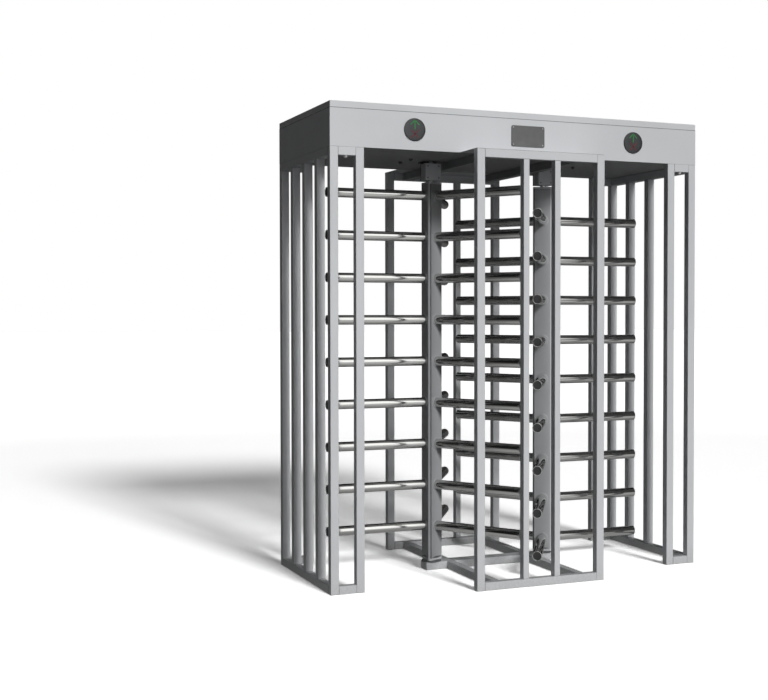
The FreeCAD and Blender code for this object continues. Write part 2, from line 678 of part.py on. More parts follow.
for thing in doc.Objects:
    if "Invalid" in thing.State or "Error" in thing.State:
        raise RuntimeError("%s is %s" % (thing.Name, thing.State))
os.makedirs("parts", exist_ok=True)
for piece in nodes:
    shape = piece.Shape
    if shape.isNull() or not shape.isValid() or not shape.Solids:
        raise RuntimeError("%s has no valid shape" % piece.Label)
    shape.exportStep("parts/%s.step" % piece.Label)
    bounds = shape.BoundBox
    print("%-22s %2d solids  X %8.1f %8.1f  Y %7.1f %7.1f  Z %7.1f %7.1f" % (
        piece.Label, len(shape.Solids), bounds.XMin, bounds.XMax, bounds.YMin, bounds.YMax,
        bounds.ZMin, bounds.ZMax))
print(len(nodes), "nodes")
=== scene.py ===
import bpy
import json
from math import atan2, cos, degrees, pi, radians, sin, sqrt
from mathutils import Euler, Matrix, Vector


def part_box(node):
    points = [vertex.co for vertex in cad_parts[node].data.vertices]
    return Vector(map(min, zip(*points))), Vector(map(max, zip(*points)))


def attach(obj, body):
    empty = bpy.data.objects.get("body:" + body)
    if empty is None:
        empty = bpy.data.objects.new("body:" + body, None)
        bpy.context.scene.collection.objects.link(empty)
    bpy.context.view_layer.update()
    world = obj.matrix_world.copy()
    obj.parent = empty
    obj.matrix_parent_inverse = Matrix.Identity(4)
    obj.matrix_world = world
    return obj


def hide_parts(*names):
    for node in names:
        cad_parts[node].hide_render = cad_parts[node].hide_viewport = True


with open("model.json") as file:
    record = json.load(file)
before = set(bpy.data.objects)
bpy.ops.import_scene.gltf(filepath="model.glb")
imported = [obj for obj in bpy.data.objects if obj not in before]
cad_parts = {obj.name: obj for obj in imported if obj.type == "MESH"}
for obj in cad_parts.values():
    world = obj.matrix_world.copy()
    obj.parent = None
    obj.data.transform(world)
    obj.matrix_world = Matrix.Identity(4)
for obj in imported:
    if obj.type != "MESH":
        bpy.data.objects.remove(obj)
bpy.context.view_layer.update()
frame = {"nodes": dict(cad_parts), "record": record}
scene = bpy.context.scene
scene.view_settings.view_transform = "Standard"

xAxis, yAxis, zAxis = 0, 1, 2
nearly = 1e-6           # metres: places closer than this count as one
weldGap = 1e-5          # metres: corners of a CAD mesh closer than this are one
squareOn = 0.9          # how far along an axis a normal reaches when its face looks that way


# small helpers for picking, shaping and finishing

def deselect():
    if bpy.context.mode != "OBJECT":
        bpy.ops.object.mode_set(mode="OBJECT")
    bpy.ops.object.select_all(action="DESELECT")


def selectOnly(*objects):
    deselect()
    for item in objects:
        item.select_set(True)
    bpy.context.view_layer.objects.active = objects[0]


def settle(name):
    # names the new primitive and puts its place into its mesh
    piece = bpy.context.active_object
    piece.name = piece.data.name = name
    bpy.ops.object.transform_apply(location=True, rotation=True, scale=True)
    return piece


def boxBetween(name, low, high):
    bpy.ops.mesh.primitive_cube_add(size=1, location=(low + high) / 2, scale=high - low)
    return settle(name)


def standingRod(name, sides, radius, low, high, x=0, y=0):
    bpy.ops.mesh.primitive_cylinder_add(vertices=sides, radius=radius, depth=high - low,
                                        location=(x, y, (low + high) / 2))
    return settle(name)


def lyingRod(name, sides, radius, near, far):
    # lies along X
    bpy.ops.mesh.primitive_cylinder_add(vertices=sides, radius=radius, depth=far - near,
                                        location=((near + far) / 2, 0, 0), rotation=(0, pi / 2, 0))
    return settle(name)


def leaveEdit():
    bpy.ops.object.mode_set(mode="OBJECT")


def startPicking(piece, kind):
    selectOnly(piece)
    bpy.ops.object.mode_set(mode="EDIT")
    bpy.ops.mesh.select_mode(type=kind)
    bpy.ops.mesh.select_all(action="DESELECT")
    leaveEdit()


def pickFaces(piece, test):
    startPicking(piece, "FACE")
    for face in piece.data.polygons:
        face.select = bool(test(face.center, face.normal))
    bpy.ops.object.mode_set(mode="EDIT")


def pickEdges(piece, test):
    startPicking(piece, "EDGE")
    points = [vertex.co.copy() for vertex in piece.data.vertices]
    for edge in piece.data.edges:
        edge.select = bool(test(points[edge.vertices[0]], points[edge.vertices[1]]))
    bpy.ops.object.mode_set(mode="EDIT")


def looking(axis, way=1):
    # the test for faces that look along an axis, or against it
    return lambda centre, normal: normal[axis] * way > squareOn


def runningAlong(axis):
    # the test for edges that go from one place along an axis to another
    return lambda a, b: abs(a[axis] - b[axis]) > nearly


def lyingAt(axis, *levels):
    # the test for edges that lie at one of these places along an axis
    return lambda a, b: any(abs(a[axis] - level) < nearly and abs(b[axis] - level) < nearly
                            for level in levels)


def bevelPicked(width, steps=1):
    bpy.ops.mesh.bevel(offset=width, segments=steps, affect="EDGES")
    leaveEdit()


def insetPicked(*rings):
    # each ring goes inwards by its first number and out of the face by its second
    for inwards, outwards in rings:
        bpy.ops.mesh.inset(thickness=inwards, depth=outwards)


def extrudePicked(x=0, z=0):
    bpy.ops.mesh.extrude_region_move(TRANSFORM_OT_translate={"value": (x, 0, z)})


def smooth(piece, angle=35, weighted=False):
    selectOnly(piece)
    bpy.ops.object.shade_smooth_by_angle(angle=radians(angle))
    if weighted:
        piece.modifiers.new("evenShading", "WEIGHTED_NORMAL").keep_sharp = True
        bpy.ops.object.modifier_apply(modifier="evenShading")


def copyTo(master, places):
    copies = []
    for place in places:
        twin = master.copy()
        twin.data = master.data.copy()
        scene.collection.objects.link(twin)
        twin.matrix_world = place
        copies.append(twin)
    bpy.data.objects.remove(master)
    return copies


def joinAs(name, objects):
    selectOnly(*objects)
    bpy.ops.object.transform_apply(location=True, rotation=True, scale=True)
    if len(objects) > 1:
        bpy.ops.object.join()
    piece = bpy.context.active_object
    piece.name = piece.data.name = name
    return piece


def dress(piece, material, body, nodes=()):
    piece.data.materials.clear()
    piece.data.materials.append(material)
    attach(piece, body)
    if nodes:
        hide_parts(*nodes)


def paintFaces(piece, material, test):
    piece.data.materials.append(material)
    pickFaces(piece, test)
    piece.active_material_index = len(piece.data.materials) - 1
    bpy.ops.object.material_slot_assign()
    leaveEdit()


def memberBoxes(nodeName):
    # the low and high corner of each separate solid of a CAD node
    source = frame["nodes"][nodeName]
    twin = source.copy()
    twin.data = source.data.copy()
    twin.parent = None
    scene.collection.objects.link(twin)
    selectOnly(twin)
    bpy.ops.object.mode_set(mode="EDIT")
    bpy.ops.mesh.select_all(action="SELECT")
    bpy.ops.mesh.remove_doubles(threshold=weldGap)
    bpy.ops.mesh.separate(type="LOOSE")
    leaveEdit()
    boxes = []
    for part in list(bpy.context.selected_objects):
        points = [vertex.co for vertex in part.data.vertices]
        low = Vector([min(point[axis] for point in points) for axis in range(3)])
        high = Vector([max(point[axis] for point in points) for axis in range(3)])
        boxes.append((low, high))
        bpy.data.objects.remove(part)
    boxes.sort(key=lambda corners: tuple(round(value, 4) for value in corners[0]))
    return boxes


# shader helpers: most of them make one node and give back its output

def newMaterial(name):
    material = bpy.data.materials.new(name)
    material.use_nodes = True
    tree = material.node_tree
    return material, tree.nodes, tree.links, tree.nodes["Principled BSDF"]


def feed(links, socket, value):
    # a socket takes another node's output or a plain value
    if isinstance(value, bpy.types.NodeSocket):
        links.new(value, socket)
    else:
        socket.default_value = value


def noiseOn(nodes, links, vector, scale, detail=2.0, roughness=0.5):
    noise = nodes.new("ShaderNodeTexNoise")
    noise.inputs["Scale"].default_value = scale
    noise.inputs["Detail"].default_value = detail
    noise.inputs["Roughness"].default_value = roughness
    links.new(vector, noise.inputs["Vector"])
    return noise.outputs["Fac"]


def rangeOf(nodes, links, value, low, high, fromLow=0.3, fromHigh=0.7):
    span = nodes.new("ShaderNodeMapRange")
    span.inputs["From Min"].default_value = fromLow
    span.inputs["From Max"].default_value = fromHigh
    span.inputs["To Min"].default_value = low
    span.inputs["To Max"].default_value = high
    links.new(value, span.inputs["Value"])
    return span.outputs["Result"]


def blendColors(nodes, links, factor, first, second):
    mix = nodes.new("ShaderNodeMix")
    mix.data_type = "RGBA"
    links.new(factor, mix.inputs["Factor"])
    feed(links, mix.inputs[6], first)
    feed(links, mix.inputs[7], second)
    return mix.outputs[2]


def mathOf(nodes, links, operation, *values):
    node = nodes.new("ShaderNodeMath")
    node.operation = operation
    for socket, value in zip(node.inputs, values):
        feed(links, socket, value)
    return node.outputs["Value"]


def vectorMathOf(nodes, links, operation, first, second, output):
    node = nodes.new("ShaderNodeVectorMath")
    node.operation = operation
    feed(links, node.inputs[0], first)
    feed(links, node.inputs[1], second)
    return node.outputs[output]


def stretched(nodes, links, vector, scale):
    mapping = nodes.new("ShaderNodeMapping")
    mapping.inputs["Scale"].default_value = scale
    links.new(vector, mapping.inputs["Vector"])
    return mapping.outputs["Vector"]


def heightOf(nodes, links, vector):
    split = nodes.new("ShaderNodeSeparateXYZ")
    links.new(vector, split.inputs["Vector"])
    return split.outputs["Z"]


def bumpFrom(nodes, links, height, strength, distance):
    bump = nodes.new("ShaderNodeBump")
    bump.inputs["Strength"].default_value = strength
    bump.inputs["Distance"].default_value = distance
    links.new(height, bump.inputs["Height"])
    return bump.outputs["Normal"]


# materials

powderCoat = {
    "pale": (0.745, 0.758, 0.776),
    "deep": (0.700, 0.714, 0.733),
    "cloudScale": 3.2,      # slow drift between the pale and the deep tone
    "dust": (0.560, 0.548, 0.526),
    "dustMost": 0.55,       # how much of it lies at the floor
    "dustTop": 0.09,        # and how high it climbs
    "speckScale": 95.0,     # patches of dust and of duller coat
    "peelScale": 620.0,     # orange peel, bumps about 2 mm across
    "peelStrength": 0.6,
    "peelDepth": 0.00006,
    "rough": (0.50, 0.58),
    "metallic": 0.36,       # silver flakes in the powder
}
coatTints = {
    "powderCoat": 1.0,
    "stripCoat": 0.90,      # the flat strips along the columns' corners, painted lighter than the flats: a painted highlight
    # painted shade: the rotor columns and collars take this darker copy of the coat
    "rotorCoat": 0.66,
    "shadeCoat": 0.50,      # painted shade under the header
    # painted shade where the columns stand on the pivot flanges
    "pivotCoat": 0.22,
    "seamCoat": 0.16,       # joint lines, grooves and bolts under the header painted dark: painted shade
}


def makePowderCoat(name, look):
    def tinted(color):
        return tuple(value * coatTints[name] for value in color) + (1.0,)

    material, nodes, links, shader = newMaterial(name)
    place = nodes.new("ShaderNodeTexCoord").outputs["Object"]
    cloud = noiseOn(nodes, links, place, look["cloudScale"], detail=3.0)
    coat = blendColors(nodes, links, rangeOf(nodes, links, cloud, 0.0, 1.0),
                       tinted(look["deep"]), tinted(look["pale"]))
    height = heightOf(nodes, links, place)
    nearFloor = rangeOf(nodes, links, height, look["dustMost"], 0.0, fromLow=0.0, fromHigh=look["dustTop"])
    speck = noiseOn(nodes, links, place, look["speckScale"], detail=4.0, roughness=0.65)
    patches = rangeOf(nodes, links, speck, 0.0, 1.0, fromLow=0.35, fromHigh=0.65)
    dusty = mathOf(nodes, links, "MULTIPLY", nearFloor, patches)
    links.new(blendColors(nodes, links, dusty, coat, tinted(look["dust"])), shader.inputs["Base Color"])
    links.new(rangeOf(nodes, links, speck, *look["rough"]), shader.inputs["Roughness"])
    peel = noiseOn(nodes, links, place, look["peelScale"], detail=1.0)
    links.new(bumpFrom(nodes, links, peel, look["peelStrength"], look["peelDepth"]), shader.inputs["Normal"])
    shader.inputs["Metallic"].default_value = look["metallic"]
    return material


armSteel = {
    "bright": (0.690, 0.690, 0.670, 1.0),
    "grain": (0.590, 0.590, 0.572, 1.0),
    "stretch": (70.0, 2.0, 1.0),        # around and along the tube, so the polishing lines run along it
    "lineScale": 3.0,
    "lineStrength": 0.05,
    "lineDepth": 0.000003,
    "rough": (0.07, 0.13),
    "roughShare": 0.8,                  # how much of that roughness stays under the patches
    "handledScale": 14.0,               # patches where hands push, and how much rougher they are
    "handledMore": 0.05,
}


def makeArmSteel(name, look):
    material, nodes, links, shader = newMaterial(name)
    surface = nodes.new("ShaderNodeUVMap").outputs["UV"]
    place = nodes.new("ShaderNodeTexCoord").outputs["Object"]
    lines = noiseOn(nodes, links, stretched(nodes, links, surface, look["stretch"]), look["lineScale"],
                    detail=5.0, roughness=0.6)
    tone = rangeOf(nodes, links, lines, 0.0, 1.0)
    links.new(blendColors(nodes, links, tone, look["grain"], look["bright"]), shader.inputs["Base Color"])
    polish = rangeOf(nodes, links, lines, *look["rough"])
    handled = noiseOn(nodes, links, place, look["handledScale"], detail=3.0, roughness=0.55)
    duller = rangeOf(nodes, links, handled, 0.0, look["handledMore"])
    links.new(mathOf(nodes, links, "MULTIPLY_ADD", polish, look["roughShare"], duller),
              shader.inputs["Roughness"])
    links.new(bumpFrom(nodes, links, lines, look["lineStrength"], look["lineDepth"]), shader.inputs["Normal"])
    shader.inputs["Metallic"].default_value = 1.0
    return material


def makeMetal(name, bright, dark, rough, stretch, scale, depth):
    # a metal whose working marks can be finer along one axis than along the others
    material, nodes, links, shader = newMaterial(name)
    place = nodes.new("ShaderNodeTexCoord").outputs["Object"]
    marks = noiseOn(nodes, links, stretched(nodes, links, place, stretch), scale, detail=4.0, roughness=0.6)
    links.new(blendColors(nodes, links, rangeOf(nodes, links, marks, 0.0, 1.0), dark, bright),
              shader.inputs["Base Color"])
    links.new(rangeOf(nodes, links, marks, rough[1], rough[0]), shader.inputs["Roughness"])
    links.new(bumpFrom(nodes, links, marks, strength=0.4, distance=depth), shader.inputs["Normal"])
    shader.inputs["Metallic"].default_value = 1.0
    return material


def makeZinc(name, bright, dark, rough, crystalScale, fineScale, fineDepth):
    # spangled zinc, each crystal with its own tone
    material, nodes, links, shader = newMaterial(name)
    place = nodes.new("ShaderNodeTexCoord").outputs["Object"]
    crystals = nodes.new("ShaderNodeTexVoronoi")
    crystals.inputs["Scale"].default_value = crystalScale
    links.new(place, crystals.inputs["Vector"])
    shade = nodes.new("ShaderNodeSeparateColor")
    links.new(crystals.outputs["Color"], shade.inputs["Color"])
    links.new(blendColors(nodes, links, shade.outputs["Red"], dark, bright), shader.inputs["Base Color"])
    links.new(rangeOf(nodes, links, shade.outputs["Green"], *rough, fromLow=0.0, fromHigh=1.0),
              shader.inputs["Roughness"])
    fine = noiseOn(nodes, links, place, fineScale)
    links.new(bumpFrom(nodes, links, fine, strength=0.3, distance=fineDepth), shader.inputs["Normal"])
    shader.inputs["Metallic"].default_value = 1.0
    return material


def makePlastic(name, dark, pale, rough, grain, depth, specular=0.5):
    # moulded or coated surface with a fine even grain
    material, nodes, links, shader = newMaterial(name)
    place = nodes.new("ShaderNodeTexCoord").outputs["Object"]
    cloud = noiseOn(nodes, links, place, scale=22.0, detail=4.0)
    links.new(blendColors(nodes, links, rangeOf(nodes, links, cloud, 0.0, 1.0), dark, pale),
              shader.inputs["Base Color"])
    texture = noiseOn(nodes, links, place, grain)
    links.new(rangeOf(nodes, links, texture, *rough), shader.inputs["Roughness"])
    links.new(bumpFrom(nodes, links, texture, strength=0.5, distance=depth), shader.inputs["Normal"])
    shader.inputs["Specular IOR Level"].default_value = specular
    return material


coatPaint = makePowderCoat("powderCoat", powderCoat)
# the darker copies of the coat are painted shade; the strips' lighter one is a painted highlight
stripHighlightPaint = makePowderCoat("stripCoat", powderCoat)
rotorShadePaint = makePowderCoat("rotorCoat", powderCoat)
paintedShadePaint = makePowderCoat("shadeCoat", powderCoat)
pivotShadePaint = makePowderCoat("pivotCoat", powderCoat)
seamShadePaint = makePowderCoat("seamCoat", powderCoat)
polishedSteel = makeArmSteel("polishedTube", armSteel)
turnedSteel = makeMetal("turnedSteel", bright=(0.60, 0.60, 0.61, 1.0), dark=(0.42, 0.42, 0.43, 1.0),
                        rough=(0.20, 0.36), stretch=(1.0, 1.0, 24.0), scale=60.0, depth=0.00004)
fastenerSteel = makeMetal("fastenerSteel", bright=(0.90, 0.90, 0.90, 1.0), dark=(0.72, 0.72, 0.72, 1.0),
                          rough=(0.22, 0.36), stretch=(1.0, 1.0, 1.0), scale=420.0, depth=0.00003)
zincSheet = makeZinc("zincSheet", bright=(0.60, 0.61, 0.62, 1.0), dark=(0.40, 0.42, 0.44, 1.0),
                     rough=(0.34, 0.52), crystalScale=140.0, fineScale=900.0, fineDepth=0.00003)
darkCoat = makePlastic("darkCoat", dark=(0.018, 0.019, 0.021, 1.0), pale=(0.032, 0.033, 0.036, 1.0),
                       rough=(0.42, 0.58), grain=700.0, depth=0.00006, specular=0.35)
blackMoulding = makePlastic("blackMoulding", dark=(0.034, 0.035, 0.035, 1.0), pale=(0.046, 0.047, 0.047, 1.0),
                            rough=(0.48, 0.62), grain=1100.0, depth=0.00005)
lensGlass = makePlastic("smokedLens", dark=(0.038, 0.040, 0.042, 1.0), pale=(0.050, 0.052, 0.054, 1.0),
                        rough=(0.22, 0.30), grain=1500.0, depth=0.00001)
arrowGreen = makePlastic("arrowGreen", dark=(0.026, 0.190, 0.050, 1.0), pale=(0.040, 0.260, 0.066, 1.0),
                         rough=(0.34, 0.46), grain=1300.0, depth=0.00002)
crossRed = makePlastic("crossRed", dark=(0.110, 0.016, 0.020, 1.0), pale=(0.150, 0.024, 0.028, 1.0),
                       rough=(0.34, 0.46), grain=1300.0, depth=0.00002)
plateGrey = makePlastic("anodisedPlate", dark=(0.120, 0.122, 0.120, 1.0), pale=(0.145, 0.147, 0.145, 1.0),
                        rough=(0.36, 0.50), grain=800.0, depth=0.00004, specular=0.4)
print("materials made")


# stage: camera, floor, lamps and world

view = {
    "place": (-2.91398, -6.28413, 1.32123),
    "yaw": 24.08,           # degrees from +Y towards +X
    "pitch": 1.44,          # degrees down
    "sensor": 36,           # mm, as is the lens
    "lens": 62.07,
    "shift": (-0.1114, -0.0061),
    "farthest": 400,
}
bpy.ops.object.camera_add(location=view["place"],
                          rotation=(radians(90 - view["pitch"]), 0, radians(-view["yaw"])))
camera = bpy.context.active_object
camera.name = "photoCamera"
camera.data.sensor_width = view["sensor"]
camera.data.lens = view["lens"]
camera.data.shift_x, camera.data.shift_y = view["shift"]
camera.data.clip_end = view["farthest"]
scene.camera = camera

studio = {
    "floorSize": 160.0,
    "floorTone": (0.03, 0.03, 0.03, 1.0),       # what the floor throws back at the turnstile
    "floorShown": (0.95, 0.95, 0.95, 1.0),      # and what the camera sees of it, in two layers
    "floorMore": (1.21, 1.21, 1.21, 1.0),
    "floorRough": (0.20, 0.26),
    "floorMottle": 6.0,
    "floorSpecular": 0.04,
    "floorLift": 0.10,      # light added for the camera, so the lit floor reads white
    "farLift": 0.30,        # and how much of it far off, where no shadow falls
    "farEdge": (7.5, 12.0),
    "poolBright": 0.58,     # how polished metal sees the floor, inside a round pool and far from it
    "poolDim": 0.10,
    "poolEdge": (3.2, 5.8),
    "poolCentre": (1.1, -4.6, 0.0),
    "suns": {               # where from, how strong, and how many degrees wide
        "key": ((0.082, -0.881, 0.466), 2.36, 12.0),
        "low": ((0.150, -0.929, 0.330), 0.46, 16.0),
        "back": ((-0.05, 0.80, 0.60), 0.25, 50.0),
        "side": ((-0.95, 0.20, 0.25), 0.15, 60.0),
    },
    "sunDistance": 8,
    "fill": 0.004,
    "panels": (             # soft panels seen only by reflections: where, how bright, and the edge's cosines
        ((0.020, -0.901, 0.432), 1.46, (0.77, 0.94)),
        ((0.740, -0.660, 0.120), 0.05, (0.45, 0.90)),
    ),
    "ceilingTone": (0.012, 0.012, 0.012, 1.0),
    "horizonTone": (0.085, 0.082, 0.076, 1.0),
    "horizonTop": 0.06,
}
white = (1.0, 1.0, 1.0, 1.0)
black = (0.0, 0.0, 0.0, 1.0)


def addShaders(nodes, links, first, second):
    total = nodes.new("ShaderNodeAddShader")
    links.new(first, total.inputs[0])
    links.new(second, total.inputs[1])
    return total.outputs["Shader"]


def mixShaders(nodes, links, factor, first, second):
    mix = nodes.new("ShaderNodeMixShader")
    links.new(factor, mix.inputs["Fac"])
    links.new(first, mix.inputs[1])
    links.new(second, mix.inputs[2])
    return mix.outputs["Shader"]


def backgroundOf(nodes, links, color, strength=1.0):
    background = nodes.new("ShaderNodeBackground")
    feed(links, background.inputs["Color"], color)
    background.inputs["Strength"].default_value = strength
    return background.outputs["Background"]


def makeFloorPaint(name, look):
    # bright for the camera, dim for the light that it throws back, and a pool of light for polished metal
    material, nodes, links, shader = newMaterial(name)
    place = nodes.new("ShaderNodeTexCoord").outputs["Object"]
    rays = nodes.new("ShaderNodeLightPath")
    cameraRay = rays.outputs["Is Camera Ray"]
    mottle = noiseOn(nodes, links, place, look["floorMottle"], detail=3.0)
    links.new(blendColors(nodes, links, cameraRay, look["floorTone"], look["floorShown"]),
              shader.inputs["Base Color"])
    links.new(rangeOf(nodes, links, mottle, *look["floorRough"]), shader.inputs["Roughness"])
    shader.inputs["Specular IOR Level"].default_value = look["floorSpecular"]
    fromPool = vectorMathOf(nodes, links, "DISTANCE", place, look["poolCentre"], "Value")
    pool = rangeOf(nodes, links, fromPool, look["poolBright"], look["poolDim"], *look["poolEdge"])
    fromMiddle = vectorMathOf(nodes, links, "DISTANCE", place, (0.0, 0.0, 0.0), "Value")
    lift = rangeOf(nodes, links, fromMiddle, look["floorLift"], look["farLift"], *look["farEdge"])
    mirrored = mathOf(nodes, links, "MULTIPLY", rays.outputs["Is Glossy Ray"], pool)
    glow = nodes.new("ShaderNodeEmission")
    glow.inputs["Color"].default_value = white
    links.new(mathOf(nodes, links, "MULTIPLY_ADD", cameraRay, lift, mirrored), glow.inputs["Strength"])
    more = nodes.new("ShaderNodeBsdfDiffuse")
    links.new(blendColors(nodes, links, cameraRay, black, look["floorMore"]), more.inputs["Color"])
    lit = addShaders(nodes, links, shader.outputs["BSDF"], more.outputs["BSDF"])
    links.new(addShaders(nodes, links, lit, glow.outputs["Emission"]),
              nodes["Material Output"].inputs["Surface"])
    return material


def makeWorld(name, look):
    # white for the camera, a dark room with soft panels for reflections, and a faint fill for the rest
    world = bpy.data.worlds.new(name)
    world.use_nodes = True
    nodes, links = world.node_tree.nodes, world.node_tree.links
    toward = nodes.new("ShaderNodeTexCoord").outputs["Generated"]
    rays = nodes.new("ShaderNodeLightPath")
    tone = nodes.new("ShaderNodeValToRGB")
    tone.color_ramp.elements[0].position = 0.0
    tone.color_ramp.elements[0].color = look["horizonTone"]
    tone.color_ramp.elements[1].position = look["horizonTop"]
    tone.color_ramp.elements[1].color = look["ceilingTone"]
    links.new(heightOf(nodes, links, toward), tone.inputs["Fac"])
    seen = tone.outputs["Color"]
    for where, brightness, edge in look["panels"]:
        facing = vectorMathOf(nodes, links, "DOT_PRODUCT", toward, where, "Value")
        panel = rangeOf(nodes, links, facing, 0.0, brightness, *edge)
        seen = vectorMathOf(nodes, links, "ADD", seen, panel, "Vector")
    mirrored = mathOf(nodes, links, "MAXIMUM", rays.outputs["Is Glossy Ray"],
                      rays.outputs["Is Transmission Ray"])
    fill = backgroundOf(nodes, links, white, look["fill"])
    room = mixShaders(nodes, links, mirrored, fill, backgroundOf(nodes, links, seen))
    backdrop = backgroundOf(nodes, links, white)
    links.new(mixShaders(nodes, links, rays.outputs["Is Camera Ray"], room, backdrop),
              nodes["World Output"].inputs["Surface"])
    return world


deselect()
bpy.ops.mesh.primitive_plane_add(size=studio["floorSize"], location=(0, 0, 0))
floor = settle("studioFloor")
floor.data.materials.append(makeFloorPaint("studioFloorPaint", studio))
for sunName, (source, strength, spread) in studio["suns"].items():
    aim = (-Vector(source)).to_track_quat("-Z", "Y").to_euler()
    bpy.ops.object.light_add(type="SUN", location=Vector(source) * studio["sunDistance"], rotation=aim)
    lamp = bpy.context.active_object
    lamp.name = sunName + "Lamp"
    lamp.data.energy = strength
    lamp.data.angle = radians(spread)
    lamp.visible_glossy = False
scene.world = makeWorld("studioWorld", studio)
print("stage set")


# frame of square tube with rounded corners, its joint lines painted dark as painted shade

frameTube = {
    "corner": 0.0018,
    "steps": 3,
    "endEase": 0.0012,
    "slant": (0.3, 0.95),   # how far along an axis the normal of a bevelled face reaches
    "touching": 0.002,      # how near the header's underside a face belongs to the joint with it
}
tubeRuns = {                # the axis that each kind of tube runs along
    "corner_posts": zAxis, "side_bars": zAxis, "side_rails": yAxis,
    "return_posts": zAxis, "return_rails": xAxis,
    "cage_posts": zAxis, "cage_bars": zAxis, "cage_rails": xAxis,
    "long_rails": yAxis, "cross_member": xAxis,
}
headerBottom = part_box("front_fascia")[0].z


def roundedTube(name, low, high, along):
    tube = boxBetween(name, low, high)
    pickEdges(tube, runningAlong(along))
    bevelPicked(frameTube["corner"], frameTube["steps"])
    pickEdges(tube, lyingAt(along, low[along], high[along]))
    bevelPicked(frameTube["endEase"])
    return tube


def camelName(nodeName):
    first, *rest = nodeName.split("_")
    return first + "".join(word.capitalize() for word in rest)


def slanted(part):
    # whether a face is one of the bevels, by one part of its normal
    least, most = frameTube["slant"]
    return least < part < most


for nodeName in sorted(frame["nodes"]):
    kind = "_".join(nodeName.split("_")[1:])
    if kind in tubeRuns:
        along = tubeRuns[kind]
        tubes = [roundedTube("tube", low, high, along) for low, high in memberBoxes(nodeName)]
        piece = joinAs(camelName(nodeName), tubes)
        smooth(piece, angle=40, weighted=True)
        dress(piece, coatPaint, "frame", [nodeName])
        # painted shade: the bevels at the tubes' ends and where they meet the header's underside are painted
        # dark
        paintFaces(piece, seamShadePaint, lambda centre, normal: slanted(abs(normal[along]))
                   or (centre.z > headerBottom - frameTube["touching"] and slanted(normal.z)))
        # painted shade: the long rails' sides and undersides up under the header take the darker coat
        if kind == "long_rails":
            paintFaces(piece, paintedShadePaint, lambda centre, normal: centre.z > headerBottom / 2
                       and (abs(normal.x) > squareOn or normal.z < -squareOn))
print("frame tubes made")


# feet: the closed ends of the cross member under the columns

footBox = {"corner": 0.0022, "steps": 3}
for side in ("left", "right"):
    foot = boxBetween(side + "Foot", *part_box(side + "_foot"))
    pickEdges(foot, lambda a, b: True)
    bevelPicked(footBox["corner"], footBox["steps"])
    smooth(foot, angle=40, weighted=True)
    dress(foot, coatPaint, "frame", [side + "_foot"])


# header lid: a shallow pan with folded edges, and a black strip in the seam under it, painted shade filling
# the gap

headerLid = {"fold": 0.0030, "foldSteps": 3, "sheet": 0.0020}
low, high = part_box("header_lid")
lid = boxBetween("headerLid", low, high)
upright, upper = runningAlong(zAxis), lyingAt(zAxis, high.z)
pickEdges(lid, lambda a, b: upright(a, b) or upper(a, b))
bevelPicked(headerLid["fold"], headerLid["foldSteps"])
pickFaces(lid, looking(zAxis, -1))
insetPicked((headerLid["sheet"], 0))
extrudePicked(z=high.z - low.z - headerLid["sheet"])
leaveEdit()
smooth(lid, angle=40, weighted=True)
dress(lid, coatPaint, "frame", ["header_lid"])

lidGasket = {"setBack": 0.0003, "wide": 0.0027, "high": 0.0020}
back = lidGasket["setBack"]
shadeStrip = boxBetween("lidGasket", Vector((low.x + back, low.y + back, low.z - lidGasket["high"])),
                    Vector((high.x - back, high.y - back, low.z)))
pickFaces(shadeStrip, lambda centre, normal: abs(normal.z) > squareOn)
bpy.ops.mesh.inset(thickness=lidGasket["wide"], use_individual=True)
bpy.ops.mesh.bridge_edge_loops()
leaveEdit()
# painted shade: the black strip fills the seam's gap
dress(shadeStrip, blackMoulding, "frame")
print("header lid made")


# rotor columns: three flat sides, and corners with a flat strip and a seam beside it; the flats and seams are
# painted darker as painted shade, the strips lighter as a painted highlight

rotors = {
    "left": {"axisX": -0.322, "turn": 180, "drop": 0.0},
    "right": {"axisX": 0.322, "turn": 0, "drop": 0.109},
}
wings = (0, 120, 240)       # degrees from a rotor's first arm to each
rotorColumn = {
    "face": 0.080,
    "corner": (             # one corner's outline: degrees from its middle, and metres from its centre
        (-60, 0.0120), (-47, 0.0120), (-34, 0.0120), (18, 0.0120),
        (20, 0.0088), (42, 0.0088),
        (44, 0.0120), (60, 0.0120),
    ),
    "strip": (-60, 18),     # which degrees of that outline are the strip, and which the seam
    "seam": (18, 44),
    "cornerReach": 0.0125,  # faces nearer than this to a corner's centre are part of the corner
}


def columnCorners(side):
    # each corner's centre, seen from above, and the way it points: opposite an arm
    look = rotors[side]
    ways = [radians(look["turn"] + 180 + wing) for wing in wings]
    reach = rotorColumn["face"] / sqrt(3)
    return [(Vector((look["axisX"] + cos(way) * reach, sin(way) * reach)), way) for way in ways]


def roundedColumn(side):
    low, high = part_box(side + "_column")
    outline = []
    for middle, way in columnCorners(side):
        for angle, reach in rotorColumn["corner"]:
            aim = way + radians(angle)
            outline.append(middle + Vector((cos(aim), sin(aim))) * reach)
    count = len(outline)
    column = standingRod(side + "Column", count, 1, low.z, high.z)
    for vertex in column.data.vertices:
        around = atan2(vertex.co.y, vertex.co.x) - pi / 2       # the primitive's first corner lies on +Y
        point = outline[round(around / (2 * pi) * count) % count]
        vertex.co = (point.x, point.y, vertex.co.z)
    smooth(column, angle=30, weighted=True)
    return column


def cornerAngle(point, middle, way):
    offset = point.xy - middle
    ahead = Vector((cos(way), sin(way)))
    return degrees(atan2(ahead.cross(offset), ahead.dot(offset)))


def onCorner(side, span):
    # the test for upright faces within a span of degrees on any corner
    corners = columnCorners(side)
    return lambda centre, normal: abs(normal.z) < squareOn and any(
        (centre.xy - middle).length < rotorColumn["cornerReach"]
        and span[0] < cornerAngle(centre, middle, way) < span[1]
        for middle, way in corners)


